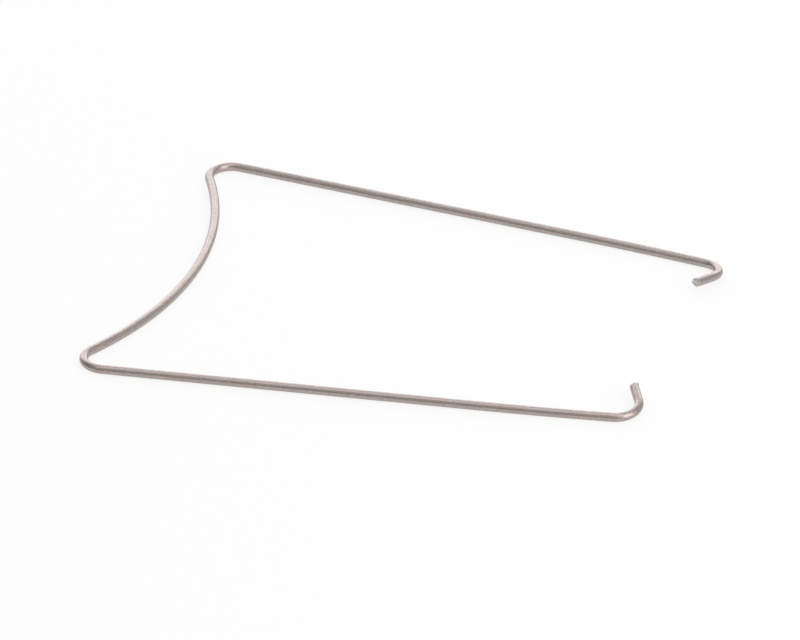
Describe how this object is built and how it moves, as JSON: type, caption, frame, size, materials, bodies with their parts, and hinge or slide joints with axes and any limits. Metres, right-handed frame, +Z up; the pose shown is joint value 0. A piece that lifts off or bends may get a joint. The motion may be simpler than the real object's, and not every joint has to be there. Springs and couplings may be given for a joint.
{
  "type": "bent wire form",
  "caption": "Bowed U of round spring wire whose legs lean together and end in hooked pins that face each other. It springs into a pair of holes as a bail, handle or retainer.",
  "frame": {"origin": "on the surface that the form lies on, under the middle of its outline", "axes": "+X along the legs from the bowed end to the hooks, +Y across to the left leg, +Z up"},
  "size_m": [0.124, 0.1, 0.0035],
  "materials": {
    "spring_wire": "cold-drawn stainless, satin, bare sheared ends"
  },
  "bodies": {
    "root": {"wire_form": "spring_wire"}
  },
  "joints": []
}
